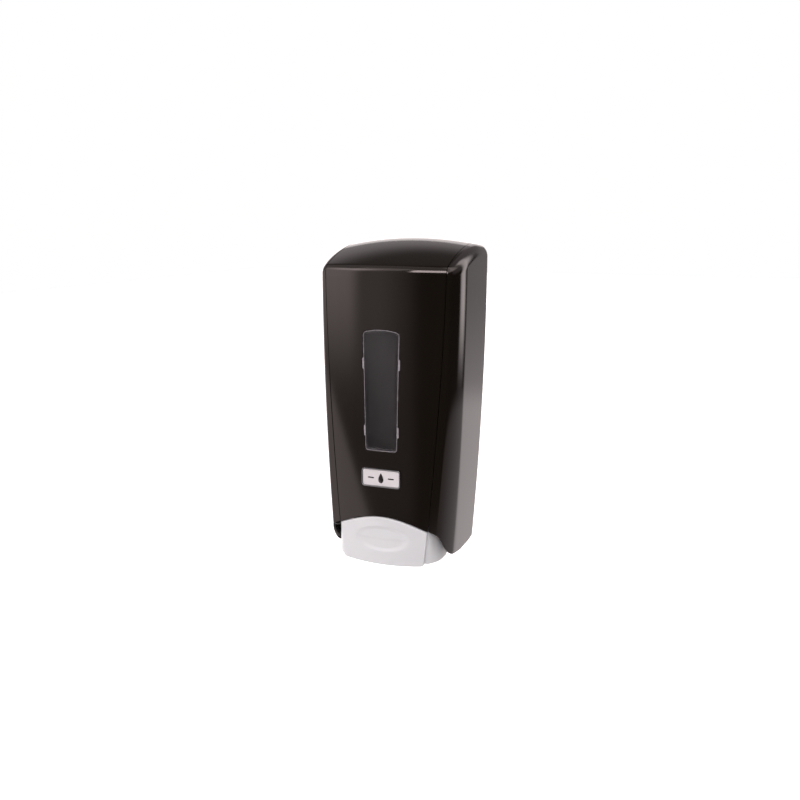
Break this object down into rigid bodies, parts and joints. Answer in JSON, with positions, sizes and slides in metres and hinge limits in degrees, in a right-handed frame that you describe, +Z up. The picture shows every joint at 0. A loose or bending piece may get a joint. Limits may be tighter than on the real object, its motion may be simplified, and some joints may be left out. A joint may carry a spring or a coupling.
{
  "type": "wall mounted soap dispenser",
  "caption": "Wall mounted soap dispenser with a hinged front cover, level window, push bar and a bottle and pump inside.",
  "frame": {"origin": "on the wall plane, in the middle of the four mounting screw holes and at half the overall height", "axes": "+X to the right seen from the front, +Y into the wall, +Z up; the front faces -Y"},
  "size_m": [0.132, 0.1046, 0.2906],
  "materials": {
    "black_abs": "gloss",
    "plate_abs": "matt",
    "foam_tape": "foam",
    "smoke_lens": "clear smoke",
    "badge_silver": "satin silver",
    "emblem_print": "printed",
    "white_abs": "satin",
    "pin_steel": "ground",
    "spring_steel": "drawn wire",
    "lock_zinc": "satin plated",
    "cradle_pp": "matt",
    "screw_zinc": "zinc plated",
    "bottle_hdpe": "natural",
    "gasket_epdm": "matt",
    "pump_pp": "natural",
    "ball_steel": "polished",
    "valve_silicone": "translucent"
  },
  "bodies": {
    "housing": {"wall_plate": "plate_abs", "adhesive_pads": "foam_tape", "rear_housing": "black_abs", "refill_cradle": "cradle_pp", "cradle_screws": "screw_zinc", "refill_bottle": "bottle_hdpe", "neck_gasket": "gasket_epdm", "pump_collar": "pump_pp", "pump_cylinder": "pump_pp", "pump_spring": "spring_steel", "inlet_ball": "ball_steel"},
    "cover": {"front_cover": "black_abs", "window_lens": "smoke_lens", "badge_frame": "badge_silver", "badge_emblem": "emblem_print", "cover_hinge_pins": "pin_steel", "lever_pivot_pins": "pin_steel", "lock_keeper": "cradle_pp"},
    "lever": {"push_lever": "white_abs", "push_pad": "white_abs", "lever_return_springs": "spring_steel"},
    "plunger": {"pump_plunger": "pump_pp", "outlet_valve": "valve_silicone"},
    "lock": {"lock_barrel": "lock_zinc", "lock_cam": "screw_zinc", "cam_screw": "screw_zinc"}
  },
  "joints": [
    {"name": "cover_hinge", "type": "hinge", "parent": "housing", "child": "cover", "pos_m": [0, -0.046, -0.1367], "axis": [1, 0, 0], "range_deg": [0, 95]},
    {"name": "lever_push", "type": "hinge", "parent": "cover", "child": "lever", "pos_m": [0, -0.092, -0.0947], "axis": [1, 0, 0], "range_deg": [0, 16], "stiffness_Nm_per_rad": 0.3, "springref_deg": -22.92},
    {"name": "pump_stroke", "type": "slide", "parent": "housing", "child": "plunger", "axis": [0, 0, 1], "range_m": [0, 0.0075], "stiffness_N_per_m": 40, "springref_m": -0.004, "deforming": ["pump_spring"]},
    {"name": "lock_turn", "type": "hinge", "parent": "housing", "child": "lock", "pos_m": [0, -0.012, 0.14], "axis": [0, 0, -1], "range_deg": [0, 90]}
  ],
  "couplings": [
    {"joint": "pump_stroke", "follows": "lever_push", "m_per_rad": 0.02645}
  ]
}
